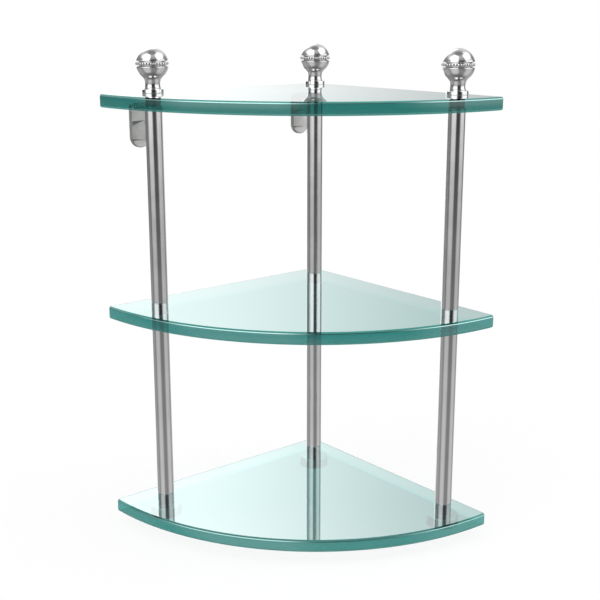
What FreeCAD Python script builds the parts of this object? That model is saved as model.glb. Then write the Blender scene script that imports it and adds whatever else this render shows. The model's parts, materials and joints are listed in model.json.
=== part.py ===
import FreeCAD, Part
import math
import os

# A corner shelf of three glass plates on three posts.
# The origin is on the axis of the corner post, on the plane that the feet stand on.
# The right post is on +X, the left post on -Y, and +Z is up.

# Shelves
SHELF_LEG = 206.0
SHELF_REACH = 204.5
SHELF_THICKNESS = 9.5
SHELF_CORNER_RADIUS = 2.5
SHELF_BEVEL = 1.0
CLEAR_HEIGHT = 149.5
GLASS_HOLE_DIAMETER = 11.8

# Posts
POST_END_INSET = 35.8
LEFT_EDGE_INSET = 12.7
RIGHT_EDGE_INSET = 10.1
TUBE_DIAMETER = 13.2
TUBE_WALL = 1.0
TUBE_END_BEVEL = 0.25
PLUG_LENGTH = 10.0
ROD_DIAMETER = 5.0
ROD_END_BEVEL = 0.5

# Soft parts between metal and glass
GASKET_THICKNESS = 0.4
GASKET_SETBACK = 0.2

# Feet
FOOT_DIAMETER = 25.0
FOOT_BODY_HEIGHT = 8.8
FOOT_EDGE_RADIUS = 1.0
FOOT_THREAD_DEPTH = 6.0
PAD_DIAMETER = 19.0
PAD_THICKNESS = 2.0
PAD_SHOW = 0.8

# Finials
COLLAR_DIAMETER = 16.5
COLLAR_HEIGHT = 2.4
COLLAR_BEVEL = 0.35
NECK_HEIGHT = 8.4
NECK_FOOT_RADIUS = 6.3
NECK_WAIST_RADIUS = 5.75
NECK_WAIST_HEIGHT = 4.6
NECK_TOP_RADIUS = 7.2
NECK_BLEND_RADIUS = 1.6
BALL_RADIUS = 12.3
BALL_BELLY = 0.2
DOME_HEIGHT = 11.6
CHANNEL_MOUTH = 4.6
CHANNEL_FLOOR = 2.0
CHANNEL_DEPTH = 2.5
BEAD_COUNT = 32
BEAD_RADIUS = 1.05
BEAD_BAND_HEIGHT = 1.1
BEAD_BAND_BITE = 0.8
FINIAL_THREAD_LENGTH = 10.0

# Wall brackets
BRACKET_STANDOFF = 18.0
BRACKET_THICKNESS = 3.0
BRACKET_WIDTH = 16.6
BRACKET_DROP = 32.5
BRACKET_RISE = 1.5
BRACKET_CORNER_RADIUS = 4.0
BRACKET_EDGE_RADIUS = 0.6
FLANGE_THICKNESS = 2.0
FLANGE_WIDTH = 6.0
SCREW_HOLE_DIAMETER = 3.6
SCREW_HOLE_SPACING = 11.2
SCREW_HOLE_DROP = 2.7
RECESS_MARGIN = 0.8
RECESS_WIDTH = 11.0
RECESS_HEIGHT = 14.8
RECESS_FOOT = 5.5
RECESS_DEPTH = 2.2
RECESS_CEILING = 4.0
RECESS_FLOOR = 0.8

# Clearances
SLEEVE_CLEARANCE = 0.15
ROD_CLEARANCE = 0.1
PLUG_CLEARANCE = 0.05
THREAD_CLEARANCE = 0.05
RUNNING_CLEARANCE = 0.3
BAND_CLEARANCE = 0.05
PAD_CLEARANCE = 0.1
BORE_END_CLEARANCE = 1.0

Vector = FreeCAD.Vector
UP = Vector(0, 0, 1)

# Both outer posts are as far from the corner post as the end of the right leg allows
post_span = SHELF_LEG - LEFT_EDGE_INSET - POST_END_INSET
POSTS = {
    "corner": Vector(0, 0, 0),
    "right": Vector(post_span, 0, 0),
    "left": Vector(0, -post_span, 0),
}
LEVELS = ("bottom", "middle", "top")

# Heights of the stack, from the floor up
foot_top = PAD_SHOW + FOOT_BODY_HEIGHT
first_shelf = foot_top + GASKET_THICKNESS
shelf_pitch = SHELF_THICKNESS + CLEAR_HEIGHT
underside = {level: first_shelf + index * shelf_pitch for index, level in enumerate(LEVELS)}
upper_face = {level: height + SHELF_THICKNESS for level, height in underside.items()}
flange_top = underside["top"] - GASKET_THICKNESS
flange_bottom = flange_top - FLANGE_THICKNESS
collar_bottom = upper_face["top"] + GASKET_THICKNESS
collar_top = collar_bottom + COLLAR_HEIGHT
rod_bottom = foot_top - FOOT_THREAD_DEPTH
rod_top = collar_top + FINIAL_THREAD_LENGTH

rod_radius = ROD_DIAMETER / 2
rod_hole_radius = rod_radius + ROD_CLEARANCE
finial_bore_radius = rod_radius + RUNNING_CLEARANCE
tube_radius = TUBE_DIAMETER / 2
tube_bore_radius = tube_radius - TUBE_WALL


def cylinder(radius, bottom, top):
    """A solid round bar on the Z axis."""
    return Part.makeCylinder(radius, top - bottom, Vector(0, 0, bottom), UP)


def ring(outer_radius, inner_radius, bottom, top):
    """A round bar with a hole through it."""
    return cylinder(outer_radius, bottom, top).cut(cylinder(inner_radius, bottom, top))


def box(x_range, y_range, z_range):
    """A block between two limits on each axis."""
    low = Vector(x_range[0], y_range[0], z_range[0])
    size = [limits[1] - limits[0] for limits in (x_range, y_range, z_range)]
    return Part.makeBox(size[0], size[1], size[2], low)


def at_post(shape, post):
    """A copy of a shape made on the Z axis, moved to one post."""
    copy = shape.copy()
    copy.translate(POSTS[post])
    return copy


def at_height(shape, height):
    """A copy of a shape, lifted."""
    copy = shape.copy()
    copy.translate(Vector(0, 0, height))
    return copy


def flat_edges(shape, heights):
    """Edges that lie flat at any of the given heights."""
    return [
        edge
        for edge in shape.Edges
        if any(
            all(abs(vertex.Z - height) < 1e-6 for vertex in edge.Vertexes)
            and abs(edge.CenterOfMass.z - height) < 1e-6
            for height in heights
        )
    ]


def round_edges(shape, radius_at, height):
    """Round edges at one height that have one radius."""
    return [
        edge
        for edge in flat_edges(shape, [height])
        if isinstance(edge.Curve, Part.Circle) and abs(edge.Curve.Radius - radius_at) < 1e-6
    ]


def upright_edges(shape):
    """Straight edges that run along Z."""
    return [
        edge
        for edge in shape.Edges
        if isinstance(edge.Curve, Part.Line)
        and abs(edge.Vertexes[0].X - edge.Vertexes[1].X) < 1e-6
        and abs(edge.Vertexes[0].Y - edge.Vertexes[1].Y) < 1e-6
    ]


# Glass

def glass_shelf():
    """One glass plate with its underside at height zero."""
    back_corner = Vector(-LEFT_EDGE_INSET, RIGHT_EDGE_INSET, 0)
    left_end = back_corner + Vector(0, -SHELF_LEG, 0)
    right_end = back_corner + Vector(SHELF_LEG, 0, 0)
    diagonal = Vector(1, -1, 0).normalize()
    front_middle = back_corner + diagonal * SHELF_REACH
    outline = Part.Wire(
        [
            Part.makeLine(back_corner, right_end),
            Part.Arc(right_end, front_middle, left_end).toShape(),
            Part.makeLine(left_end, back_corner),
        ]
    )
    plate = Part.Face(outline).extrude(UP * SHELF_THICKNESS)
    plate = plate.makeFillet(SHELF_CORNER_RADIUS, upright_edges(plate))
    plate = plate.makeChamfer(SHELF_BEVEL, flat_edges(plate, [0, SHELF_THICKNESS]))
    hole = cylinder(GLASS_HOLE_DIAMETER / 2, 0, SHELF_THICKNESS)
    for post in POSTS:
        plate = plate.cut(at_post(hole, post))
    return plate


# Posts

def tube(bottom, top):
    """One tube, with its outer end edges broken."""
    pipe = ring(tube_radius, tube_bore_radius, bottom, top)
    ends = round_edges(pipe, tube_radius, bottom) + round_edges(pipe, tube_radius, top)
    return pipe.makeChamfer(TUBE_END_BEVEL, ends)


def tie_rod():
    """The threaded rod inside one post."""
    rod = cylinder(rod_radius, rod_bottom, rod_top)
    return rod.makeChamfer(ROD_END_BEVEL, flat_edges(rod, [rod_bottom, rod_top]))


def tube_plugs(spans):
    """A centring plug in each end of each tube of one post."""
    plug_radius = tube_bore_radius - PLUG_CLEARANCE
    plugs = []
    for bottom, top in spans:
        plugs.append(ring(plug_radius, rod_hole_radius, bottom, bottom + PLUG_LENGTH))
        plugs.append(ring(plug_radius, rod_hole_radius, top - PLUG_LENGTH, top))
    return plugs


def hole_sleeve(level):
    """The sleeve that lines one hole in the glass."""
    sleeve_radius = GLASS_HOLE_DIAMETER / 2 - SLEEVE_CLEARANCE
    return ring(sleeve_radius, rod_hole_radius, underside[level], upper_face[level])


def gasket_pair(level):
    """The gaskets under and over one hole in the glass, as wide as what presses on them."""
    lower_radius = tube_radius - GASKET_SETBACK
    upper_radius = COLLAR_DIAMETER / 2 - GASKET_SETBACK if level == "top" else lower_radius
    below = underside[level] - GASKET_THICKNESS
    above = upper_face[level]
    return [
        ring(radius, finial_bore_radius, bottom, bottom + GASKET_THICKNESS)
        for radius, bottom in ((lower_radius, below), (upper_radius, above))
    ]


# Feet

def foot():
    """The round foot that the tie rod screws into."""
    body = cylinder(FOOT_DIAMETER / 2, PAD_SHOW, foot_top)
    body = body.makeFillet(FOOT_EDGE_RADIUS, flat_edges(body, [PAD_SHOW, foot_top]))
    thread = cylinder(rod_radius + THREAD_CLEARANCE, rod_bottom, foot_top)
    pad_seat = cylinder(PAD_DIAMETER / 2 + PAD_CLEARANCE, PAD_SHOW, PAD_THICKNESS)
    return body.cut(thread).cut(pad_seat)


def foot_pad():
    """The rubber pad in the base of one foot."""
    return cylinder(PAD_DIAMETER / 2, 0, PAD_THICKNESS)


# Finials

ball_drop = math.sqrt(BALL_RADIUS**2 - NECK_TOP_RADIUS**2)
ball_centre = collar_top + NECK_HEIGHT + ball_drop
channel_floor_radius = BALL_RADIUS - CHANNEL_DEPTH


def collar():
    """The flat ring that the finial tightens down on."""
    disc = ring(COLLAR_DIAMETER / 2, finial_bore_radius, collar_bottom, collar_top)
    rims = [
        edge
        for height in (collar_bottom, collar_top)
        for edge in round_edges(disc, COLLAR_DIAMETER / 2, height)
    ]
    return disc.makeChamfer(COLLAR_BEVEL, rims)


def finial():
    """The ball and its neck, turned in one piece and bored for the rod."""
    mouth = CHANNEL_MOUTH / 2
    floor = CHANNEL_FLOOR / 2
    mouth_radius = math.sqrt(BALL_RADIUS**2 - mouth**2)
    lower_mouth = Vector(mouth_radius, 0, ball_centre - mouth)
    upper_mouth = Vector(mouth_radius, 0, ball_centre + mouth)
    neck_foot = Vector(NECK_FOOT_RADIUS, 0, collar_top)
    neck_waist = Vector(NECK_WAIST_RADIUS, 0, collar_top + NECK_WAIST_HEIGHT)
    neck_top = Vector(NECK_TOP_RADIUS, 0, collar_top + NECK_HEIGHT)

    ball_angle = (math.atan2(mouth, mouth_radius) + math.atan2(ball_drop, NECK_TOP_RADIUS)) / 2
    ball_side = Vector(math.cos(ball_angle), 0, -math.sin(ball_angle)) * (BALL_RADIUS + BALL_BELLY)
    ball_side = ball_side + Vector(0, 0, ball_centre)

    crown = Vector(0, 0, ball_centre + DOME_HEIGHT)
    dome_rise = DOME_HEIGHT - mouth
    dome_radius = (mouth_radius**2 + dome_rise**2) / (2 * dome_rise)
    dome_angle = math.asin(mouth_radius / dome_radius) / 2
    dome_side = Vector(math.sin(dome_angle), 0, math.cos(dome_angle)) * dome_radius
    dome_side = dome_side + Vector(0, 0, crown.z - dome_radius)

    profile = Part.Wire(
        [
            Part.makeLine(Vector(0, 0, collar_top), neck_foot),
            Part.Arc(neck_foot, neck_waist, neck_top).toShape(),
            Part.Arc(neck_top, ball_side, lower_mouth).toShape(),
            Part.makeLine(lower_mouth, Vector(channel_floor_radius, 0, ball_centre - floor)),
            Part.makeLine(
                Vector(channel_floor_radius, 0, ball_centre - floor),
                Vector(channel_floor_radius, 0, ball_centre + floor),
            ),
            Part.makeLine(Vector(channel_floor_radius, 0, ball_centre + floor), upper_mouth),
            Part.Arc(upper_mouth, dome_side, crown).toShape(),
            Part.makeLine(crown, Vector(0, 0, collar_top)),
        ]
    )
    body = Part.Face(profile).revolve(Vector(0, 0, 0), UP, 360)
    body = body.makeFillet(NECK_BLEND_RADIUS, round_edges(body, NECK_TOP_RADIUS, neck_top.z))
    return body.cut(cylinder(finial_bore_radius, collar_top, rod_top + BORE_END_CLEARANCE))


def bead_ring():
    """The ring of beads that lies in the ball's channel."""
    pitch_radius = BALL_RADIUS - BEAD_RADIUS
    low = ball_centre - BEAD_BAND_HEIGHT / 2
    high = ball_centre + BEAD_BAND_HEIGHT / 2
    inner_radius = channel_floor_radius + BAND_CLEARANCE
    outer_radius = pitch_radius - BEAD_RADIUS + BEAD_BAND_BITE
    beads = []
    for index in range(BEAD_COUNT):
        angle = 2 * math.pi * index / BEAD_COUNT
        outward = Vector(math.cos(angle), math.sin(angle), 0)
        centre = outward * pitch_radius + UP * ball_centre
        beads.append(Part.makeSphere(BEAD_RADIUS, centre, outward))
    return ring(outer_radius, inner_radius, low, high).fuse(beads)


# Wall brackets

wall_face = -BRACKET_STANDOFF
wall_plane = wall_face - BRACKET_THICKNESS


def bracket_plate():
    """The upright plate that lies against the wall, round at its foot, with rounded corners at its top."""
    half_width = BRACKET_WIDTH / 2
    low = underside["top"] - BRACKET_DROP + half_width
    high = underside["top"] + BRACKET_RISE
    into_room = Vector(1, 0, 0)
    plate = box((wall_plane, wall_face), (-half_width, half_width), (low, high))
    corners = [
        edge
        for edge in flat_edges(plate, [high])
        if abs(abs(edge.CenterOfMass.y) - half_width) < 1e-6
    ]
    plate = plate.makeFillet(BRACKET_CORNER_RADIUS, corners)
    foot_end = Part.makeCylinder(half_width, BRACKET_THICKNESS, Vector(wall_plane, 0, low), into_room)
    plate = plate.fuse(foot_end).removeSplitter()
    front = [
        edge
        for edge in plate.Edges
        if all(abs(vertex.X - wall_face) < 1e-6 for vertex in edge.Vertexes)
    ]
    return plate.makeFillet(BRACKET_EDGE_RADIUS, front)


def bracket_recess():
    """The recess in the front of the plate, deep at one side and ramping out to nothing at the other."""
    side = RECESS_MARGIN - BRACKET_WIDTH / 2
    low = underside["top"] - BRACKET_DROP + RECESS_FOOT
    high = low + RECESS_HEIGHT
    deep = wall_face - RECESS_DEPTH
    deep_wall = Part.makePolygon(
        [
            Vector(wall_face, side, low),
            Vector(deep, side, low + RECESS_FLOOR),
            Vector(deep, side, high - RECESS_CEILING),
            Vector(wall_face, side, high),
            Vector(wall_face, side, low),
        ]
    )
    ramp = Part.makePolygon(
        [
            Vector(wall_face, side, low),
            Vector(deep, side, low),
            Vector(wall_face, side + RECESS_WIDTH, low),
            Vector(wall_face, side, low),
        ]
    )
    trough = Part.Face(deep_wall).extrude(Vector(0, RECESS_WIDTH, 0))
    return trough.common(Part.Face(ramp).extrude(UP * RECESS_HEIGHT))


def wall_bracket():
    """A bracket for one post: a flange clamped under the top shelf and a plate for the wall."""
    plate = bracket_plate().cut(bracket_recess())
    screw_height = underside["top"] - SCREW_HOLE_DROP
    for side in (-1, 1):
        start = Vector(wall_plane, side * SCREW_HOLE_SPACING / 2, screw_height)
        hole = Part.makeCylinder(SCREW_HOLE_DIAMETER / 2, BRACKET_THICKNESS, start, Vector(1, 0, 0))
        plate = plate.cut(hole)
    arm = box((wall_face, 0), (-FLANGE_WIDTH / 2, FLANGE_WIDTH / 2), (flange_bottom, flange_top))
    eye = cylinder(tube_radius, flange_bottom, flange_top)
    bracket = plate.fuse([arm, eye]).removeSplitter()
    return bracket.cut(cylinder(rod_hole_radius, flange_bottom, flange_top))


def post_spacer():
    """The ring that stands in for a bracket flange at the right post."""
    return ring(tube_radius, rod_hole_radius, flange_bottom, flange_top)


# Assembly

lower_span = (upper_face["bottom"] + GASKET_THICKNESS, underside["middle"] - GASKET_THICKNESS)
upper_span = (upper_face["middle"] + GASKET_THICKNESS, flange_bottom)

nodes = {}

shelf = glass_shelf()
for level in LEVELS:
    nodes["shelf_" + level] = at_height(shelf, underside[level])
    nodes["hole_sleeves_" + level] = Part.makeCompound(
        [at_post(hole_sleeve(level), post) for post in POSTS]
    )
    nodes["gaskets_" + level] = Part.makeCompound(
        [at_post(gasket, post) for post in POSTS for gasket in gasket_pair(level)]
    )

one_of_each_post = {
    "tube_lower": tube(*lower_span),
    "tube_upper": tube(*upper_span),
    "tie_rod": tie_rod(),
    "tube_plugs": Part.makeCompound(tube_plugs([lower_span, upper_span])),
    "foot": foot(),
    "collar": collar(),
    "finial": finial(),
    "bead_ring": bead_ring(),
}
for post in POSTS:
    for name, shape in one_of_each_post.items():
        nodes[name + "_" + post] = at_post(shape, post)

nodes["foot_pads"] = Part.makeCompound([at_post(foot_pad(), post) for post in POSTS])
for post in ("left", "corner"):
    nodes["wall_bracket_" + post] = at_post(wall_bracket(), post)
nodes["post_spacer_right"] = at_post(post_spacer(), "right")

os.makedirs("parts", exist_ok=True)
for name, shape in nodes.items():
    shape.exportStep("parts/" + name + ".step")
    print(name, len(shape.Solids), "solids", round(shape.Volume, 1), "mm3", shape.isValid())
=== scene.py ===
"""Looks of a glass corner shelf: three glass plates on chromed posts with beaded ball finials.

Every length is in metres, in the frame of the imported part: the corner post stands on the origin,
the right post on +X, the left post on -Y, and +Z is up.
"""

import json
import logging
import math
from collections.abc import Callable, Iterable
from dataclasses import dataclass, replace
from enum import Enum
from functools import lru_cache

import bpy
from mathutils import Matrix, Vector

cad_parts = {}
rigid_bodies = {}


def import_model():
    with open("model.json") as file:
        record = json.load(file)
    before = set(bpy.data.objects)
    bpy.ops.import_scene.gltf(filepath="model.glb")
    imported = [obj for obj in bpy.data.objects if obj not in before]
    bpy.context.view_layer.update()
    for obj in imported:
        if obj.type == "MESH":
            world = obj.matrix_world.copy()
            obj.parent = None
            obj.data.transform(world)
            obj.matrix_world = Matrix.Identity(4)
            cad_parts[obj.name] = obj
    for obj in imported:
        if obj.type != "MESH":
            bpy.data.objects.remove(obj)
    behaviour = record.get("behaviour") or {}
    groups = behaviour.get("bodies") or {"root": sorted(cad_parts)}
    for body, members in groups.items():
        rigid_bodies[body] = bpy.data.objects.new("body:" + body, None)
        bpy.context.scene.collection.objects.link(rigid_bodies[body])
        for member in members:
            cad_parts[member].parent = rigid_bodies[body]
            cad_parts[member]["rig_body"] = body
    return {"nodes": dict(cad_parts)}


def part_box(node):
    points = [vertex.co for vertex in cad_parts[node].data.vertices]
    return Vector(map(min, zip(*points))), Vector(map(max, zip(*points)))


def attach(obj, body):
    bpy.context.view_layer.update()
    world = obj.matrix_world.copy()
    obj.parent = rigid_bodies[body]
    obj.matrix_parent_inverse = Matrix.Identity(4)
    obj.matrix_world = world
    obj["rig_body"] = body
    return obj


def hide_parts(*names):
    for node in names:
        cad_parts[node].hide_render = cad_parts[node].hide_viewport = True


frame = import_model()

LOG = logging.getLogger("corner_shelf")

# Lengths in metres
WELD_DISTANCE = 1e-6
SEED_SIZE = 1e-3
TOUCH = 1e-5

# Limits for the part of a face's normal that lies along an axis
LEVEL = 0.999
SHALLOW = 0.9
STEEP = 0.5
UPRIGHT = 0.1

# Largest angle between faces that is shaded as round, in degrees
ROUND_DEG = 30.0

UP = Vector((0.0, 0.0, 1.0))
INTO_ROOM = Vector((1.0, 0.0, 0.0))

Colour = tuple[float, float, float]
Point = tuple[float, float]
Outline = list[Point]
Span = tuple[object, object]


class Post(Enum):
    """The three posts, by the end of their nodes' names."""

    CORNER = "corner"
    RIGHT = "right"
    LEFT = "left"


class Level(Enum):
    """The three shelves, by the end of their nodes' names."""

    BOTTOM = "bottom"
    MIDDLE = "middle"
    TOP = "top"


class Slot(Enum):
    """The record's material slots."""

    GLASS = "shelf_glass"
    CHROME = "polished_chrome"
    BRACKET = "satin_bracket"
    ZINC = "zinc_steel"


class ShelfFace(Enum):
    """The kinds of face on a glass plate, by material index."""

    UPPER = 0
    UNDERSIDE = 1
    FRONT_EDGE = 2
    BACK_EDGE = 3
    HOLE_WALL = 4
    LOWER_ARRIS = 5
    UPPER_RIM = 6
    UPPER_ARRIS = 7
    BACK_ARRIS = 8
    FRONT_ARRIS = 9


class BracketFace(Enum):
    """The kinds of face on a wall bracket, by material index."""

    SATIN = 0
    # The recess's ends and the rim take darker finishes: painted shade
    RECESS_END = 1
    RIM = 2


class Joining(Enum):
    """The ways to combine two solids."""

    CUT = "DIFFERENCE"
    WELD = "UNION"


# Modelling by hand


def deselect_all() -> None:
    """Return to object mode with nothing selected."""
    if bpy.context.object is not None and bpy.context.object.mode != "OBJECT":
        bpy.ops.object.mode_set(mode="OBJECT")
    bpy.ops.object.select_all(action="DESELECT")


def pick(piece: bpy.types.Object) -> None:
    """Select one object alone and make it active.

    Args:
        piece: The object.
    """
    deselect_all()
    piece.select_set(True)
    bpy.context.view_layer.objects.active = piece


def arc(centre: Point, radius: float, start: float, end: float, steps: int) -> Outline:
    """Points on a circle, both ends included.

    Args:
        centre: Middle of the circle.
        radius: Radius of the circle.
        start: Angle of the first point, in radians.
        end: Angle of the last point, in radians.
        steps: Number of chords.

    Returns:
        The points in order.
    """
    angles = [start + (end - start) * index / steps for index in range(steps + 1)]
    return [(centre[0] + radius * math.cos(a), centre[1] + radius * math.sin(a)) for a in angles]


def arc_through(first: Point, middle: Point, last: Point, steps: int) -> Outline:
    """Points on the arc through three points.

    Args:
        first: Where the arc starts.
        middle: A point that it passes.
        last: Where it ends.
        steps: Number of chords.

    Returns:
        The points in order.
    """
    (ax, ay), (bx, by), (cx, cy) = first, middle, last
    a, b, c = ax**2 + ay**2, bx**2 + by**2, cx**2 + cy**2
    d = 2 * (ax * (by - cy) + bx * (cy - ay) + cx * (ay - by))
    x = (a * (by - cy) + b * (cy - ay) + c * (ay - by)) / d
    y = (a * (cx - bx) + b * (ax - cx) + c * (bx - ax)) / d
    start = math.atan2(ay - y, ax - x)
    turn = math.remainder(math.atan2(cy - y, cx - x) - start, math.tau)
    return arc((x, y), math.hypot(ax - x, ay - y), start, start + turn, steps)


def ring_profile(inner: float, outer: float, low: float, high: float) -> Outline:
    """The profile of a plain ring, or of a bar where the inner radius is 0."""
    return [(inner, low), (outer, low), (outer, high), (inner, high)]


class Workpiece:
    """A mesh on the bench, shaped with edit-mode operators from one starting point."""

    def __init__(self, name: str, start: Vector) -> None:
        """Lay down the starting point.

        Args:
            name: Name of the piece.
            start: Place of its first point.
        """
        deselect_all()
        bpy.ops.mesh.primitive_plane_add(size=SEED_SIZE, location=start)
        bpy.ops.object.transform_apply(location=True, rotation=True, scale=True)
        self.piece = bpy.context.object
        self.piece.name = name
        self.piece.data.name = name
        self.tip = start.copy()
        bpy.ops.object.mode_set(mode="EDIT")
        bpy.ops.mesh.select_all(action="SELECT")
        bpy.ops.mesh.merge(type="CENTER")

    def draw_to(self, points: Iterable[Vector]) -> None:
        """Draw straight lines from the tip through some points.

        Args:
            points: The points in order.
        """
        for point in points:
            bpy.ops.mesh.extrude_region_move(TRANSFORM_OT_translate={"value": point - self.tip})
            self.tip = point.copy()

    def draw_round(self, centre: Vector, axis: Vector, angle: float, steps: int) -> None:
        """Draw an arc from the tip.

        Args:
            centre: Middle of the arc.
            axis: Axis that it turns about.
            angle: Turn in radians, by the right-hand rule.
            steps: Number of chords.
        """
        bpy.ops.mesh.spin(steps=steps, angle=-angle, center=centre, axis=axis)
        arm = self.tip - centre
        along = axis * arm.dot(axis)
        across = arm - along
        self.tip = centre + along + across * math.cos(angle) + axis.cross(across) * math.sin(angle)

    def weld(self) -> None:
        """Merge points that coincide and turn the faces outwards."""
        bpy.ops.mesh.select_all(action="SELECT")
        bpy.ops.mesh.remove_doubles(threshold=WELD_DISTANCE)
        bpy.ops.mesh.normals_make_consistent(inside=False)

    def fill_and_extrude(self, offset: Vector) -> None:
        """Close the outline with a face and pull it into a block.

        Args:
            offset: Way and length of the pull.
        """
        bpy.ops.mesh.select_all(action="SELECT")
        bpy.ops.mesh.remove_doubles(threshold=WELD_DISTANCE)
        bpy.ops.mesh.edge_face_add()
        bpy.ops.mesh.extrude_region_move(TRANSFORM_OT_translate={"value": offset})
        self.weld()

    def revolve(self, centre: Vector, steps: int) -> None:
        """Turn the outline about an upright axis.

        Args:
            centre: A point on the axis.
            steps: Number of faces round the piece.
        """
        bpy.ops.mesh.select_all(action="SELECT")
        bpy.ops.mesh.spin(steps=steps, angle=math.tau, center=centre, axis=UP)
        self.weld()

    def bevel(self, chosen: Callable[[Vector, Vector], bool], width: float, segments: int) -> None:
        """Bevel the edges that a test picks.

        Args:
            chosen: Test of an edge's two ends.
            width: Width of the bevel.
            segments: Number of faces across it.
        """
        bpy.ops.mesh.select_mode(type="EDGE")
        bpy.ops.mesh.select_all(action="DESELECT")
        bpy.ops.object.mode_set(mode="OBJECT")
        points = self.piece.data.vertices
        for edge in self.piece.data.edges:
            first, last = (points[index].co for index in edge.vertices)
            edge.select = chosen(first, last)
        bpy.ops.object.mode_set(mode="EDIT")
        bpy.ops.mesh.bevel(offset=width, offset_type="OFFSET", segments=segments, affect="EDGES")
        bpy.ops.mesh.select_mode(type="VERT")

    def lift_off(self, smooth_deg: float = ROUND_DEG) -> bpy.types.Object:
        """Leave edit mode and smooth the round faces.

        Args:
            smooth_deg: Largest angle between faces that is shaded as round, in degrees.

        Returns:
            The finished object.
        """
        smooth_by_angle(self.piece, smooth_deg)
        return self.piece


def smooth_by_angle(piece: bpy.types.Object, smooth_deg: float) -> None:
    """Shade a piece smooth where its faces meet at a small angle."""
    pick(piece)
    bpy.ops.object.shade_smooth_by_angle(angle=math.radians(smooth_deg))


def keep_flats(piece: bpy.types.Object, way: Vector) -> None:
    """Mark the rims of flat faces sharp, so that the faces beside them don't bend their shading.

    Args:
        piece: The piece.
        way: Direction that the flat faces look along, either way round.
    """
    mesh = piece.data
    flat, other = set(), set()
    for face in mesh.polygons:
        (flat if abs(face.normal.dot(way)) > LEVEL else other).update(face.edge_keys)
    for edge in mesh.edges:
        if edge.key in flat and edge.key in other:
            edge.use_edge_sharp = True


def turned(name: str, axis: Vector, profile: Outline, steps: int, closed: bool = True) -> Workpiece:
    """Turn a profile of radius and height about an upright axis.

    Args:
        name: Name of the piece.
        axis: A point on the axis.
        profile: The profile's points.
        steps: Number of faces round the piece.
        closed: True for a ring, false for a profile that starts and ends on the axis.

    Returns:
        The piece, still in edit mode.
    """
    points = [Vector((axis.x + radius, axis.y, height)) for radius, height in profile]
    work = Workpiece(name, points[0])
    work.draw_to(points[1:] + points[:1] if closed else points[1:])
    work.revolve(axis, steps)
    return work


def extruded(name: str, points: list[Vector], offset: Vector) -> Workpiece:
    """Draw a closed outline and pull it into a block.

    Args:
        name: Name of the piece.
        points: The outline's points.
        offset: Way and length of the pull.

    Returns:
        The piece, still in edit mode.
    """
    work = Workpiece(name, points[0])
    work.draw_to(points[1:] + points[:1])
    work.fill_and_extrude(offset)
    return work


def combine(piece: bpy.types.Object, tool: bpy.types.Object, joining: Joining) -> None:
    """Cut one solid with another or join them, and use the tool up.

    Args:
        piece: The solid that stays.
        tool: The solid that is used up.
        joining: What the tool does to the solid.
    """
    pick(piece)
    bpy.ops.object.modifier_add(type="BOOLEAN")
    modifier = piece.modifiers[-1]
    modifier.operation = joining.value
    modifier.solver = "EXACT"
    modifier.object = tool
    bpy.ops.object.modifier_apply(modifier=modifier.name)
    bpy.data.objects.remove(tool)


def copy_at(piece: bpy.types.Object, name: str, offset: Vector) -> bpy.types.Object:
    """Copy a piece, with its own mesh.

    Args:
        piece: The piece to copy.
        name: Name of the copy.
        offset: How far the copy is moved.

    Returns:
        The copy, with its place in its mesh.
    """
    pick(piece)
    bpy.ops.object.duplicate(linked=False)
    twin = bpy.context.object
    twin.name = name
    twin.data.name = name
    bpy.ops.transform.translate(value=offset)
    bpy.ops.object.transform_apply(location=True, rotation=True, scale=True)
    return twin


def join_all(pieces: list[bpy.types.Object]) -> bpy.types.Object:
    """Join several objects into the first.

    Args:
        pieces: The objects.

    Returns:
        The first, with the others' meshes in it.
    """
    deselect_all()
    for piece in pieces:
        piece.select_set(True)
    bpy.context.view_layer.objects.active = pieces[0]
    bpy.ops.object.join()
    return pieces[0]


def mount(piece: bpy.types.Object, node: str) -> None:
    """Put a finished piece in the place of its CAD node.

    Args:
        piece: The finished piece.
        node: The node that it stands for.
    """
    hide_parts(node)
    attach(piece, frame["nodes"][node]["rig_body"])
    LOG.info("%s: %d faces", piece.name, len(piece.data.polygons))


@lru_cache
def node_box(node: str) -> tuple[Vector, Vector]:
    """A node's lowest and highest corners at rest."""
    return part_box(node)


@lru_cache
def axis_of(node: str) -> Vector:
    """The foot of the upright axis through the middle of a node."""
    low, high = node_box(node)
    return Vector(((low.x + high.x) / 2, (low.y + high.y) / 2, 0.0))


def post_of(node: str) -> Post:
    """The post that a node's name ends with."""
    return Post(node.rsplit("_", 1)[1])


def post_axis(post: Post) -> Vector:
    """The foot of a post's axis."""
    return axis_of("foot_" + post.value)


# Shader nodes

NOISE_SPAN = (0.35, 0.65)


class Kind(Enum):
    """Socket types of a node group."""

    NUMBER = "NodeSocketFloat"
    COLOUR = "NodeSocketColor"


class Mixed(Enum):
    """What a Mix node mixes: its data type, and the places of its two inputs and its output."""

    NUMBERS = ("FLOAT", 2, 3, 0)
    COLOURS = ("RGBA", 6, 7, 2)


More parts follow.
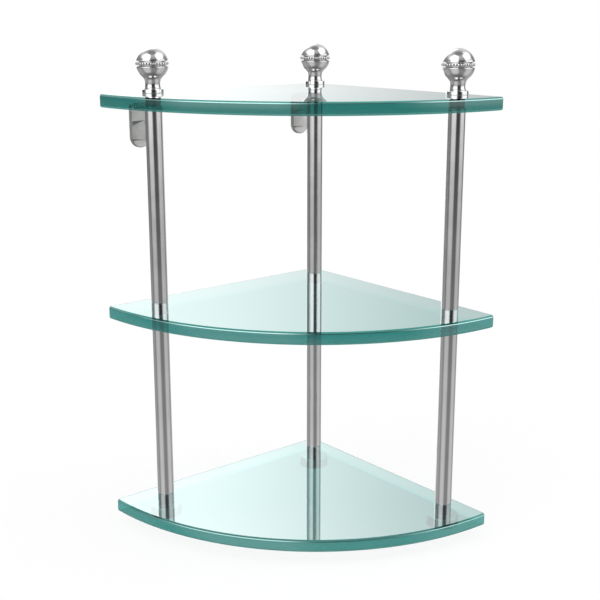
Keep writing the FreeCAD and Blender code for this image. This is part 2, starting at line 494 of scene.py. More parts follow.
class Graph:
    """Adds and joins the nodes of one shader tree."""

    def __init__(self, tree: bpy.types.NodeTree) -> None:
        """Work on one tree."""
        self.tree = tree

    def add(self, kind: str, **settings: object) -> bpy.types.Node:
        """Add a node.

        Args:
            kind: Blender's name for the node.
            **settings: Properties to set on it.

        Returns:
            The new node.
        """
        node = self.tree.nodes.new(kind)
        for name, value in settings.items():
            setattr(node, name, value)
        return node

    def feed(self, source: object, target: bpy.types.NodeSocket) -> None:
        """Link a socket, or set a plain value.

        Args:
            source: An output socket or a value.
            target: The input that takes it.
        """
        if isinstance(source, bpy.types.NodeSocket):
            self.tree.links.new(source, target)
        else:
            target.default_value = source

    def maths(self, operation: str, *values: object) -> bpy.types.NodeSocket:
        """Add a Math node and return its output.

        Args:
            operation: The Math node's operation.
            *values: Its inputs, as sockets or numbers.

        Returns:
            The result.
        """
        node = self.add("ShaderNodeMath", operation=operation)
        for value, target in zip(values, node.inputs):
            self.feed(value, target)
        return node.outputs[0]

    def remap(self, value: object, source: Span, target: Span) -> bpy.types.NodeSocket:
        """Ease a value from one range into another.

        Args:
            value: The value to map.
            source: Its range.
            target: The range of the result.

        Returns:
            The mapped value.
        """
        node = self.add("ShaderNodeMapRange", interpolation_type="SMOOTHSTEP")
        names = ("Value", "From Min", "From Max", "To Min", "To Max")
        for name, given in zip(names, (value, *source, *target)):
            self.feed(given, node.inputs[name])
        return node.outputs["Result"]

    def mix(
        self, what: Mixed, share: object, first: object, second: object, way: str = "MIX"
    ) -> bpy.types.NodeSocket:
        """Mix two numbers or two colours.

        Args:
            what: Whether they are numbers or colours.
            share: Share of the second.
            first: The first, as a socket or a value.
            second: The second, as a socket or a value.
            way: The Mix node's way of blending.

        Returns:
            The mixture.
        """
        data_type, first_place, second_place, result = what.value
        node = self.add("ShaderNodeMix", data_type=data_type, blend_type=way)
        for place, given in ((0, share), (first_place, first), (second_place, second)):
            self.feed(given, node.inputs[place])
        return node.outputs[result]

    def direct_rays(self) -> bpy.types.NodeSocket:
        """A mask of the rays that see the background straight or through glass."""
        path = self.add("ShaderNodeLightPath")
        return self.maths("MAXIMUM", path.outputs["Is Camera Ray"], path.outputs["Is Transmission Ray"])


def new_group(
    name: str, inputs: dict[str, Kind], outputs: dict[str, Kind]
) -> tuple[Graph, bpy.types.Node, bpy.types.Node]:
    """Start a shader node group.

    Args:
        name: Name of the group.
        inputs: Its inputs and their types.
        outputs: Its outputs and their types.

    Returns:
        The group's graph, its input node and its output node.
    """
    tree = bpy.data.node_groups.new(name, "ShaderNodeTree")
    for sockets, way in ((inputs, "INPUT"), (outputs, "OUTPUT")):
        for title, kind in sockets.items():
            tree.interface.new_socket(title, in_out=way, socket_type=kind.value)
    graph = Graph(tree)
    return graph, graph.add("NodeGroupInput"), graph.add("NodeGroupOutput")


def noise_in(graph: Graph, scale: object, detail: float, vector: object = None) -> bpy.types.NodeSocket:
    """Add noise.

    Args:
        graph: The graph that takes it.
        scale: Scale of the noise.
        detail: Its number of finer layers.
        vector: Where it is read, which is the Object coordinates if nothing is given.

    Returns:
        The noise's value.
    """
    noise = graph.add("ShaderNodeTexNoise")
    noise.inputs["Detail"].default_value = detail
    graph.feed(scale, noise.inputs["Scale"])
    graph.feed(vector or graph.add("ShaderNodeTexCoord").outputs["Object"], noise.inputs["Vector"])
    return noise.outputs["Fac"]


@lru_cache
def mottled_value() -> bpy.types.NodeTree:
    """A value that drifts between two limits over the surface.

    Returns:
        The node group.
    """
    number = Kind.NUMBER
    graph, given, out = new_group(
        "mottled_value", {"Scale": number, "Low": number, "High": number}, {"Value": number}
    )
    noise = noise_in(graph, given.outputs["Scale"], detail=4.0)
    limits = (given.outputs["Low"], given.outputs["High"])
    graph.feed(graph.remap(noise, NOISE_SPAN, limits), out.inputs["Value"])
    return graph.tree


@lru_cache
def mottled_colour() -> bpy.types.NodeTree:
    """A colour that drifts between two tones over the surface.

    Returns:
        The node group.
    """
    graph, given, out = new_group(
        "mottled_colour",
        {"Scale": Kind.NUMBER, "Dark": Kind.COLOUR, "Light": Kind.COLOUR},
        {"Color": Kind.COLOUR},
    )
    noise = noise_in(graph, given.outputs["Scale"], detail=3.0)
    share = graph.remap(noise, NOISE_SPAN, (0.0, 1.0))
    tone = graph.mix(Mixed.COLOURS, share, given.outputs["Dark"], given.outputs["Light"])
    graph.feed(tone, out.inputs["Color"])
    return graph.tree


@lru_cache
def drawn_grain() -> bpy.types.NodeTree:
    """Fine relief, drawn out along Z as a tube or a polished plate shows it.

    Returns:
        The node group.
    """
    number = Kind.NUMBER
    graph, given, out = new_group(
        "drawn_grain", {"Scale": number, "Squeeze Z": number}, {"Height": number}
    )
    squeeze = graph.add("ShaderNodeCombineXYZ")
    for axis, scale in (("X", 1.0), ("Y", 1.0), ("Z", given.outputs["Squeeze Z"])):
        graph.feed(scale, squeeze.inputs[axis])
    stretched = graph.add("ShaderNodeVectorMath", operation="MULTIPLY")
    graph.feed(graph.add("ShaderNodeTexCoord").outputs["Object"], stretched.inputs[0])
    graph.feed(squeeze.outputs[0], stretched.inputs[1])
    grain = noise_in(graph, given.outputs["Scale"], detail=2.0, vector=stretched.outputs[0])
    graph.feed(grain, out.inputs["Height"])
    return graph.tree


def placed(graph: Graph, tree: bpy.types.NodeTree, **values: object) -> bpy.types.NodeSocket:
    """Place a node group with its own values.

    Args:
        graph: The material's graph.
        tree: The group.
        **values: Inputs by name, with _ for a space.

    Returns:
        The group's first output.
    """
    node = graph.add("ShaderNodeGroup", node_tree=tree)
    for name, value in values.items():
        given = (*value, 1.0) if isinstance(value, tuple) else value
        graph.feed(given, node.inputs[name.replace("_", " ")])
    return node.outputs[0]


def blank_material(name: str) -> tuple[bpy.types.Material, Graph, bpy.types.Node]:
    """Start a material with a Principled shader.

    Args:
        name: Name of the material.

    Returns:
        The material, its graph and its shader.
    """
    material = bpy.data.materials.new(name)
    material.use_nodes = True
    graph = Graph(material.node_tree)
    return material, graph, material.node_tree.nodes["Principled BSDF"]


def set_inputs(node: bpy.types.Node, values: dict[str, object]) -> None:
    """Set plain values on a node's own sockets."""
    for name, value in values.items():
        node.inputs[name].default_value = value


def relief(graph: Graph, shader: bpy.types.Node, height: bpy.types.NodeSocket, depth: float) -> None:
    """Raise a surface by a height map.

    Args:
        graph: The material's graph.
        shader: Its shader.
        height: The height, from 0 to 1.
        depth: The height's full depth.
    """
    bump = graph.add("ShaderNodeBump")
    set_inputs(bump, {"Strength": 1.0, "Distance": depth})
    graph.feed(height, bump.inputs["Height"])
    graph.feed(bump.outputs["Normal"], shader.inputs["Normal"])


# Finishes


@dataclass(frozen=True)
class SolidFinish:
    """A metal, plastic or rubber surface."""

    name: str
    dark: Colour
    light: Colour
    tone_scale: float
    smoothest: float
    roughest: float
    haze_scale: float
    grain_scale: float
    grain_depth: float
    grain_squeeze: float = 1.0
    metallic: float = 1.0

    @lru_cache
    def material(self) -> bpy.types.Material:
        """Build the material once.

        Returns:
            The material.
        """
        material, graph, shader = blank_material(self.name)
        tone = placed(graph, mottled_colour(), Scale=self.tone_scale, Dark=self.dark, Light=self.light)
        haze = placed(graph, mottled_value(), Scale=self.haze_scale, Low=self.smoothest, High=self.roughest)
        grain = placed(graph, drawn_grain(), Scale=self.grain_scale, Squeeze_Z=self.grain_squeeze)
        graph.feed(tone, shader.inputs["Base Color"])
        graph.feed(haze, shader.inputs["Roughness"])
        set_inputs(shader, {"Metallic": self.metallic})
        relief(graph, shader, grain, self.grain_depth)
        return material


@dataclass(frozen=True)
class GlassFinish:
    """One kind of face on a glass plate, with its tint from a square view to a grazing one."""

    name: str
    tints: tuple[tuple[float, Colour], ...]
    metallic: float = 0.0
    coat: float = 0.0
    clarity: float = 1.0
    coat_index: float = 1.5
    ripple_scale: float = 9.0
    ripple_depth: float = 2e-6

    @lru_cache
    def material(self) -> bpy.types.Material:
        """Build the material once.

        Returns:
            The material.
        """
        material, graph, shader = blank_material(self.name)
        weight = graph.add("ShaderNodeLayerWeight")
        weight.inputs["Blend"].default_value = 0.5
        ramp = graph.add("ShaderNodeValToRGB")
        stops = ramp.color_ramp.elements
        stops.remove(stops[0])
        stops[0].position, stops[0].color = self.tints[0][0], (*self.tints[0][1], 1.0)
        for place, colour in self.tints[1:]:
            stops.new(place).color = (*colour, 1.0)
        graph.feed(weight.outputs["Facing"], ramp.inputs["Fac"])
        streak = placed(
            graph, mottled_colour(), Scale=STREAK_SCALE, Dark=STREAK_DARK, Light=STREAK_LIGHT
        )
        tint = graph.mix(Mixed.COLOURS, 1.0, ramp.outputs["Color"], streak, way="MULTIPLY")
        graph.feed(tint, shader.inputs["Base Color"])
        plain = {
            "Metallic": self.metallic,
            "Transmission Weight": self.clarity,
            "IOR": 1.0,
            "Roughness": 0.0,
            "Coat Weight": self.coat,
            "Coat Roughness": 0.0,
            "Coat IOR": self.coat_index,
        }
        set_inputs(shader, plain)
        ripple = placed(graph, drawn_grain(), Scale=self.ripple_scale, Squeeze_Z=1.0)
        relief(graph, shader, ripple, self.ripple_depth)
        return material


STREAK_SCALE = 14.0
STREAK_DARK: Colour = (0.985, 0.992, 0.99)
STREAK_LIGHT: Colour = (1.0, 1.0, 1.0)

BACK_TINT: Colour = (0.06, 0.38, 0.33)

GLASS = {
    ShelfFace.UPPER: GlassFinish("glass_upper_face", ((0.0, (0.87, 1.0, 0.99)),), metallic=0.50, coat=1.0),
    ShelfFace.UNDERSIDE: GlassFinish(
        "glass_underside",
        (
            (0.0, (0.62, 0.95, 0.90)),
            (0.58, (0.03, 0.17, 0.15)),
            (0.76, (0.05, 0.30, 0.26)),
            (0.92, BACK_TINT),
        ),
    ),
    ShelfFace.BACK_EDGE: GlassFinish("glass_back_edge", ((0.0, (0.14, 0.40, 0.37)),), coat=0.3),
    ShelfFace.BACK_ARRIS: GlassFinish("glass_back_arris", ((0.0, BACK_TINT),), coat=0.3),
    ShelfFace.HOLE_WALL: GlassFinish("glass_hole_wall", ((0.0, (0.30, 0.66, 0.62)),)),
    ShelfFace.LOWER_ARRIS: GlassFinish(
        "glass_lower_arris", ((0.0, (0.10, 0.28, 0.26)),), coat=0.3, clarity=0.4
    ),
    ShelfFace.UPPER_RIM: GlassFinish("glass_upper_rim", ((0.0, (0.12, 0.32, 0.30)),)),
    ShelfFace.UPPER_ARRIS: GlassFinish(
        "glass_upper_arris", ((0.0, (0.78, 0.92, 0.90)),), coat=1.0, clarity=0.25
    ),
    ShelfFace.FRONT_ARRIS: GlassFinish("glass_front_arris", ((0.0, (0.62, 0.90, 0.88)),), metallic=0.92),
}

FRONT_GLASS = {
    Level.BOTTOM: GlassFinish(
        "glass_front_edge_bottom",
        ((0.0, (0.058, 0.32, 0.295)), (0.3, (0.038, 0.355, 0.322))),
        coat=1.0,
        clarity=0.5,
        coat_index=2.2,
    ),
    Level.MIDDLE: GlassFinish(
        "glass_front_edge_middle",
        ((0.0, (0.026, 0.240, 0.224)), (0.3, (0.019, 0.252, 0.238))),
        coat=1.0,
        clarity=0.6,
        coat_index=2.2,
    ),
    Level.TOP: GlassFinish(
        "glass_front_edge_top",
        ((0.0, (0.020, 0.146, 0.131)), (0.3, (0.011, 0.133, 0.121))),
        coat=1.0,
        clarity=0.62,
        coat_index=1.75,
    ),
}

CHROME_TUBE = SolidFinish(
    "chrome_tube",
    dark=(0.84, 0.84, 0.85),
    light=(0.90, 0.90, 0.905),
    tone_scale=30.0,
    smoothest=0.10,
    roughest=0.17,
    haze_scale=60.0,
    grain_scale=2500.0,
    grain_squeeze=0.02,
    grain_depth=1.5e-6,
)
CHROME_TURNED = SolidFinish(
    "chrome_turned",
    dark=(0.87, 0.87, 0.88),
    light=(0.93, 0.93, 0.935),
    tone_scale=40.0,
    smoothest=0.04,
    roughest=0.08,
    haze_scale=90.0,
    grain_scale=1500.0,
    grain_depth=5e-7,
)
# A copy of the tube's chrome made almost black: painted shade on the sleeves inside the shelf holes
SLEEVE_PAINTED_SHADE = replace(
    CHROME_TUBE, name="chrome_sleeve", dark=(0.10, 0.10, 0.105), light=(0.14, 0.14, 0.145)
)
# Near-black chrome for the band between the beads: painted shade in the gaps between them
GROOVE_PAINTED_SHADE = SolidFinish(
    "chrome_groove_painted_shade",
    dark=(0.08, 0.08, 0.082),
    light=(0.12, 0.12, 0.122),
    tone_scale=300.0,
    smoothest=0.18,
    roughest=0.28,
    haze_scale=200.0,
    grain_scale=1500.0,
    grain_depth=1e-6,
)
# A dark finish for the recess's sloping ends: painted shade in the recess
RECESS_PAINTED_SHADE = SolidFinish(
    "recess_painted_shade",
    dark=(0.20, 0.20, 0.20),
    light=(0.26, 0.26, 0.255),
    tone_scale=260.0,
    smoothest=0.45,
    roughest=0.6,
    haze_scale=260.0,
    grain_scale=2600.0,
    grain_depth=6e-6,
    metallic=0.25,
)
SATIN_BRACKET = SolidFinish(
    "satin_bracket",
    dark=(0.71, 0.67, 0.66),
    light=(0.79, 0.75, 0.74),
    tone_scale=160.0,
    smoothest=0.38,
    roughest=0.48,
    haze_scale=220.0,
    grain_scale=3000.0,
    grain_squeeze=0.3,
    grain_depth=4e-6,
    metallic=0.25,
)
# A darker copy of the satin for the bracket's side and eased edge: painted shade along its outline
RIM_PAINTED_SHADE = replace(SATIN_BRACKET, name="satin_rim_painted_shade", dark=(0.25, 0.25, 0.245), light=(0.31, 0.31, 0.305))
ZINC_STEEL = SolidFinish(
    "zinc_steel",
    dark=(0.52, 0.53, 0.55),
    light=(0.66, 0.66, 0.64),
    tone_scale=300.0,
    smoothest=0.28,
    roughest=0.42,
    haze_scale=400.0,
    grain_scale=3000.0,
    grain_depth=3e-6,
)
WHITE_NYLON = SolidFinish(
    "white_nylon",
    dark=(0.80, 0.80, 0.78),
    light=(0.88, 0.88, 0.86),
    tone_scale=120.0,
    smoothest=0.42,
    roughest=0.55,
    haze_scale=200.0,
    grain_scale=2500.0,
    grain_depth=6e-6,
    metallic=0.0,
)
CLEAR_GASKET = SolidFinish(
    "clear_gasket",
    dark=(0.78, 0.80, 0.80),
    light=(0.86, 0.88, 0.88),
    tone_scale=200.0,
    smoothest=0.08,
    roughest=0.14,
    haze_scale=300.0,
    grain_scale=2500.0,
    grain_depth=3e-6,
    metallic=0.9,
)
PAD_RUBBER = SolidFinish(
    "pad_rubber",
    dark=(0.035, 0.035, 0.036),
    light=(0.055, 0.055, 0.055),
    tone_scale=350.0,
    smoothest=0.72,
    roughest=0.86,
    haze_scale=400.0,
    grain_scale=2200.0,
    grain_depth=3e-5,
    metallic=0.0,
)


# Sub-assemblies


def finish_with(piece: bpy.types.Object, *finishes: SolidFinish) -> None:
    """Give a piece its finishes, in the order of its faces' material indices."""
    piece.data.materials.clear()
    for finish in finishes:
        piece.data.materials.append(finish.material())


def spread(piece: bpy.types.Object, stem: str, ending: str) -> None:
    """Copy a piece from the corner post to the other posts and put all three in place.

    Args:
        piece: The piece at the corner post.
        stem: The nodes' names without the post.
        ending: End of the pieces' names.
    """
    copies = {Post.CORNER: piece}
    for post in (Post.RIGHT, Post.LEFT):
        offset = post_axis(post) - post_axis(Post.CORNER)
        copies[post] = copy_at(piece, stem + post.value + ending, offset)
    for post, copy in copies.items():
        mount(copy, stem + post.value)


@dataclass(frozen=True)
class GlassShelf:
    """A quarter-round glass plate with a polished edge and a hole for each post."""

    leg: float = 0.206
    reach: float = 0.2045
    corner_radius: float = 0.0025
    arris: float = 0.0015
    hole_radius: float = 0.0059
    front_steps: int = 80
    corner_steps: int = 8
    arris_steps: int = 4
    hole_steps: int = 64
    hole_overshoot: float = 0.002
    edge_smooth_deg: float = 25.0
    hole_smooth_deg: float = 40.0

    def back_corner(self, node: str) -> Vector:
        """The plate's square corner, on its underside."""
        low, high = node_box(node)
        return Vector((low.x, high.y, low.z))

    def front_arc(self, node: str) -> tuple[Vector, float]:
        """The bowed front's circle.

        Args:
            node: The plate's node.

        Returns:
            The circle's centre and its radius.
        """
        half_diagonal = self.leg / math.sqrt(2)
        rise = self.reach - half_diagonal
        radius = (half_diagonal**2 + rise**2) / (2 * rise)
        out = Vector((1.0, -1.0, 0.0)).normalized()
        return self.back_corner(node) + out * (self.reach - radius), radius

    def outline(self, node: str) -> Workpiece:
        """Draw the plate's outline on its underside and pull it up to its thickness.

        Args:
            node: The plate's node.

        Returns:
            The plate, in edit mode.
        """
        low, high = node_box(node)
        corner = self.back_corner(node)
        right = corner + Vector((self.leg, 0.0, 0.0))
        centre, radius = self.front_arc(node)
        sweep = 2 * math.asin(self.leg / math.sqrt(2) / radius)
        work = Workpiece(node + "_plate", corner)
        work.draw_to([right])
        work.draw_round(centre, UP, -sweep, self.front_steps)
        work.fill_and_extrude(UP * (high.z - low.z))
        return work

    def edges(self, work: Workpiece, node: str) -> None:
        """Round the three corners and take off the sharp arrises.

        Args:
            work: The plate, in edit mode.
            node: The plate's node.
        """
        low, high = node_box(node)
        corner = self.back_corner(node)
        ends = [corner, corner + Vector((self.leg, 0, 0)), corner - Vector((0, self.leg, 0))]

        def upright_corner(first: Vector, last: Vector) -> bool:
            """True for an upright edge at one of the plate's corners."""
            upright = (first - last).xy.length < TOUCH
            return upright and any((first - end).xy.length < TOUCH for end in ends)

        def rim(first: Vector, last: Vector) -> bool:
            """True for an edge of the upper face or of the underside."""
            flat = abs(first.z - last.z) < TOUCH
            return flat and min(abs(first.z - low.z), abs(first.z - high.z)) < TOUCH

        work.bevel(upright_corner, self.corner_radius, self.corner_steps)
        work.bevel(rim, self.arris, self.arris_steps)

    def cutter(self, node: str) -> bpy.types.Object:
        """Bars that cut the holes for the posts.

        Args:
            node: The plate's node.

        Returns:
            The three bars, as one object.
        """
        low, high = node_box(node)
        below, above = low.z - self.hole_overshoot, high.z + self.hole_overshoot
        profile = ring_profile(0.0, self.hole_radius, below, above)
        bars = []
        for post in Post:
            work = turned("hole_" + post.value, post_axis(post), profile, self.hole_steps, closed=False)
            bars.append(work.lift_off())
        return join_all(bars)

    def sort_faces(self, piece: bpy.types.Object, node: str) -> None:
        """Tell which kind of glass belongs on each face.

        Args:
            piece: The finished plate.
            node: The plate's node.
        """
        piece.data.materials.clear()
        for _ in ShelfFace:
            piece.data.materials.append(None)
        for face in piece.data.polygons:
            face.material_index = self.kind_of(face, node).value

    def dress(self, piece: bpy.types.Object, level: Level) -> None:
        """Give a plate its glass.

        Args:
            piece: The finished plate, with its faces sorted.
            level: Its level.
        """
        for kind in ShelfFace:
            finish = FRONT_GLASS[level] if kind is ShelfFace.FRONT_EDGE else GLASS[kind]
            piece.data.materials[kind.value] = finish.material()

    def kind_of(self, face: bpy.types.MeshPolygon, node: str) -> ShelfFace:
        """Tell which kind of face of the plate this is.

        Args:
            face: A face of the plate.
            node: The plate's node.

        Returns:
            The kind.
        """
        corner = self.back_corner(node)
        rise = face.normal.z
        on_leg = min(face.center.x - corner.x, corner.y - face.center.y) < self.arris
        if abs(rise) > LEVEL:
            return ShelfFace.UPPER if rise > 0 else ShelfFace.UNDERSIDE
        if any((face.center - post_axis(post)).xy.length < self.hole_radius for post in Post):
            return ShelfFace.HOLE_WALL
        if rise > STEEP:
            return ShelfFace.UPPER_ARRIS if on_leg and rise < SHALLOW else ShelfFace.UPPER_RIM
        if abs(rise) < UPRIGHT or on_leg and rise > 0:
            return ShelfFace.BACK_EDGE if on_leg else ShelfFace.FRONT_EDGE
        if rise > 0:
            return ShelfFace.FRONT_ARRIS
        return ShelfFace.BACK_ARRIS if on_leg else ShelfFace.LOWER_ARRIS

    def build(self) -> None:
        """Model one plate and copy it to the three levels."""
        first = "shelf_" + Level.BOTTOM.value
        work = self.outline(first)
        self.edges(work, first)
        plate = work.lift_off(self.edge_smooth_deg)
        combine(plate, self.cutter(first), Joining.CUT)
        smooth_by_angle(plate, self.hole_smooth_deg)
        keep_flats(plate, UP)
        self.sort_faces(plate, first)
        base = node_box(first)[0].z
        copies = {Level.BOTTOM: plate}
        for level in (Level.MIDDLE, Level.TOP):
            node = "shelf_" + level.value
            copies[level] = copy_at(plate, node + "_plate", UP * (node_box(node)[0].z - base))
        for level, piece in copies.items():
            piece.visible_glossy = False
            self.dress(piece, level)
            mount(piece, "shelf_" + level.value)


@dataclass(frozen=True)
class PlainRing:
    """A ring with its outer rims broken, such as a tube, a collar or a spacer."""

    node: str
    finish: SolidFinish
    bore_radius: float
    lower_bevel: float
    upper_bevel: float
    taper: float = 0.0
    ending: str = "_ring"
    steps: int = 96

    def turn(self) -> bpy.types.Object:
        """Turn the ring in the place of its node.

        Returns:
            The ring.
        """
        low, high = node_box(self.node)
        outer = (high.x - low.x) / 2
        profile = [
            (self.bore_radius, low.z),
            (outer - self.lower_bevel, low.z),
            (outer, low.z + self.lower_bevel),
            (outer - self.taper, high.z - self.upper_bevel),
            (outer - self.taper - self.upper_bevel, high.z),
            (self.bore_radius, high.z),
        ]
        ring = turned(self.node + self.ending, axis_of(self.node), profile, self.steps).lift_off()
        finish_with(ring, self.finish)
        return ring


@dataclass(frozen=True)
class PostTube:
    """A length of chromed tube between two shelves."""

    wall: float = 0.001
    end_bevel: float = 0.00025
    steps: int = 72

    def build(self) -> None:
        """Turn the two lengths of one post and copy them to the others."""
        for stem in ("tube_lower_", "tube_upper_"):
            first = stem + Post.CORNER.value
            low, high = node_box(first)
            tube = PlainRing(
                first,
                CHROME_TUBE,
                bore_radius=(high.x - low.x) / 2 - self.wall,
                lower_bevel=self.end_bevel,
                upper_bevel=self.end_bevel,
                ending="_sleeve",
                steps=self.steps,
            )
            spread(tube.turn(), stem, tube.ending)


@dataclass(frozen=True)
class Foot:
    """A round foot with rounded edges, bored for the rod and seated for its pad."""

    edge_radius: float = 0.001
    bore_radius: float = 0.00255
    bore_depth: float = 0.006
    seat_radius: float = 0.0096
    seat_depth: float = 0.0012
    edge_steps: int = 5
    steps: int = 96

    def profile(self, radius: float, low: float, high: float) -> Outline:
        """The foot's profile, from the bore's blind end round to the pad seat.

        Args:
            radius: Outer radius.
            low: Height of its base.
            high: Height of its top.

        Returns:
            Points of radius and height, from axis to axis.
        """
        turn = self.edge_radius
        inner = radius - turn
        top = arc((inner, high - turn), turn, math.pi / 2, 0.0, self.edge_steps)
        base = arc((inner, low + turn), turn, 0.0, -math.pi / 2, self.edge_steps)
        bore_end = high - self.bore_depth
        seat = low + self.seat_depth
        bore = [(0.0, bore_end), (self.bore_radius, bore_end), (self.bore_radius, high)]
        return bore + top + base + [(self.seat_radius, low), (self.seat_radius, seat), (0.0, seat)]

    def build(self) -> None:
        """Turn one foot and copy it to the other posts."""
        first = "foot_" + Post.CORNER.value
        low, high = node_box(first)
        outline = self.profile((high.x - low.x) / 2, low.z, high.z)
        work = turned(first + "_body", axis_of(first), outline, self.steps, closed=False)
        foot = work.lift_off()
        finish_with(foot, CHROME_TURNED)
        spread(foot, "foot_", "_body")


@dataclass(frozen=True)
class HoleSleeves:
    """The chromed sleeves that line a shelf's holes, coloured almost black as painted shade."""

    radius: float = 0.00575
    bore_radius: float = 0.0026
    steps: int = 64

    def build(self) -> None:
        """Turn three sleeves for each shelf."""
        for level in Level:
            node = "hole_sleeves_" + level.value
            low, high = node_box(node)
            profile = ring_profile(self.bore_radius, self.radius, low.z, high.z)
            rings = []
            for post in Post:
                work = turned(node + "_lining", post_axis(post), profile, self.steps)
                rings.append(work.lift_off())
            sleeves = join_all(rings)
            # The near-black colour is painted shade, not the sleeves' own colour
            finish_with(sleeves, SLEEVE_PAINTED_SHADE)
            mount(sleeves, node)


@dataclass(frozen=True)
class Finial:
    """A ball on a waisted neck, with a channel round the ball for its beads."""

    neck_height: float = 0.0084
    neck_foot_radius: float = 0.0063
    neck_waist_radius: float = 0.00575
    neck_waist_height: float = 0.0046
    neck_top_radius: float = 0.0072
    neck_blend: float = 0.0016
    blend_steps: int = 10
    belly: float = 0.0002
    dome_height: float = 0.0116
    channel_mouth: float = 0.0046
    channel_floor: float = 0.0020
    channel_depth: float = 0.0025
    channel_rim: float = 0.00018
    channel_rim_steps: int = 2
    bore_radius: float = 0.0028
    bore_depth: float = 0.0110
    bead_count: int = 32
    bead_radius: float = 0.00105
    bead_relief: float = 0.5
    bead_segments: int = 20
    bead_rings: int = 12
    band_height: float = 0.0011
    band_bite: float = 0.0008
    band_clearance: float = 0.00005
    steps: int = 128
    arc_steps: int = 18
    ball_smooth_deg: float = 32.0
    bead_smooth_deg: float = 40.0

    def ball(self, node: str) -> tuple[Vector, float]:
        """The ball's centre and radius, from the ring of beads round it."""
        low, high = node_box(node.replace("finial_", "bead_ring_"))
        return (low + high) / 2, (high.x - low.x) / 2

    def mouth(self, radius: float) -> Point:
        """Half the height of the channel's mouth, and the ball's radius at its rims."""
        half = self.channel_mouth / 2
        return half, math.sqrt(radius**2 - half**2)

    def blended(self, neck: Outline, under: Outline) -> Outline:
        """Join the neck to the ball with a soft curve in place of a crease.

        Args:
            neck: The neck's points, up to the crease.
            under: The ball's points, from the crease up.

        Returns:
            The points of both, with the curve between them.
        """
        crease = neck[-1]
        before = [point for point in neck if math.dist(point, crease) > self.neck_blend]
        after = [point for point in under if math.dist(point, crease) > self.neck_blend]
        ends = (before[-1], crease, after[0])
        curve = []
        for index in range(1, self.blend_steps):
            part = index / self.blend_steps
            weights = ((1 - part) ** 2, 2 * part * (1 - part), part**2)
            radius = sum(weight * point[0] for weight, point in zip(weights, ends))
            height = sum(weight * point[1] for weight, point in zip(weights, ends))
            curve.append((radius, height))
        return before + curve + after

    def profile(self, node: str) -> Outline:
        """The turned profile, from the bore's blind end round to the crown.

        Args:
            node: The finial's node.

        Returns:
            Points of radius and height, from axis to axis.
        """
        low, high = node_box(node)
        centre, radius = self.ball(node)
        foot = (self.neck_foot_radius, low.z)
        waist = (self.neck_waist_radius, low.z + self.neck_waist_height)
        top = (self.neck_top_radius, low.z + self.neck_height)
        neck = arc_through(foot, waist, top, self.arc_steps)

        mouth, mouth_radius = self.mouth(radius)
        lower_mouth = (mouth_radius, centre.z - mouth)
        half_way = (math.atan2(top[1] - centre.z, top[0]) + math.atan2(-mouth, mouth_radius)) / 2
        swell = radius + self.belly
        side = (swell * math.cos(half_way), centre.z + swell * math.sin(half_way))
        under = arc_through(top, side, lower_mouth, self.arc_steps)

        floor = radius - self.channel_depth
        half_floor = self.channel_floor / 2
        channel = [(floor, centre.z - half_floor), (floor, centre.z + half_floor)]

        rise = self.dome_height - mouth
        dome_radius = (mouth_radius**2 + rise**2) / (2 * rise)
        dome_centre = high.z - dome_radius
        dome = arc(
            (0.0, dome_centre),
            dome_radius,
            math.atan2(centre.z + mouth - dome_centre, mouth_radius),
            math.pi / 2,
            self.arc_steps,
        )
        bore_end = low.z + self.bore_depth
        bore = [(0.0, bore_end), (self.bore_radius, bore_end), (self.bore_radius, low.z)]
        crown = [(0.0, high.z)]
        return bore + self.blended(neck, under) + channel + dome[:-1] + crown

    def build_ball(self) -> None:
        """Turn the ball and neck, ease the channel's rims and copy it to the other posts."""
        first = "finial_" + Post.CORNER.value
        axis = axis_of(first)
        centre, radius = self.ball(first)
        mouth, mouth_radius = self.mouth(radius)
        work = turned(first + "_ball", axis, self.profile(first), self.steps, closed=False)

        def on_ring(point: Vector, ring_radius: float, height: float) -> bool:
            """True for a point on one ring of the turned piece."""
            return abs(point.z - height) < TOUCH and abs((point - axis).xy.length - ring_radius) < TOUCH

        def channel_rim(first_end: Vector, last_end: Vector) -> bool:
            """True for the two rims of the channel."""
            ends = (first_end, last_end)
            heights = (centre.z - mouth, centre.z + mouth)
            return any(all(on_ring(end, mouth_radius, height) for end in ends) for height in heights)

        work.bevel(channel_rim, self.channel_rim, self.channel_rim_steps)
        ball = work.lift_off(self.ball_smooth_deg)
        finish_with(ball, CHROME_TURNED)
        spread(ball, "finial_", "_ball")

    def build_beads(self) -> None:
        """Set a bead on the band, repeat it round the ball and copy the ring to the other posts."""
        first = "bead_ring_" + Post.CORNER.value
        centre, radius = self.ball("finial_" + Post.CORNER.value)
        pitch = radius - self.bead_radius * self.bead_relief
        inner = radius - self.channel_depth + self.band_clearance
        outer = pitch - self.bead_radius * self.bead_relief + self.band_bite
        low, high = centre.z - self.band_height / 2, centre.z + self.band_height / 2
        profile = ring_profile(inner, outer, low, high)
        band = turned(first + "_beads", centre, profile, self.steps).lift_off()

        seat = centre + Vector((pitch, 0.0, 0.0))
        deselect_all()
        bpy.ops.mesh.primitive_uv_sphere_add(
            segments=self.bead_segments,
            ring_count=self.bead_rings,
            radius=self.bead_radius,
            location=seat,
            rotation=(0.0, math.pi / 2, 0.0),
        )
        bpy.ops.object.transform_apply(location=True, rotation=True, scale=True)
        beads = bpy.context.object
        bpy.ops.object.mode_set(mode="EDIT")
        bpy.ops.mesh.select_all(action="SELECT")
        bpy.ops.transform.resize(value=(self.bead_relief, 1.0, 1.0), center_override=seat)
        turns = self.bead_count - 1
        whole = math.tau * turns / self.bead_count
        bpy.ops.mesh.spin(steps=turns, dupli=True, angle=whole, center=centre, axis=UP)
        bpy.ops.object.mode_set(mode="OBJECT")
        combine(band, beads, Joining.WELD)
        smooth_by_angle(band, self.bead_smooth_deg)
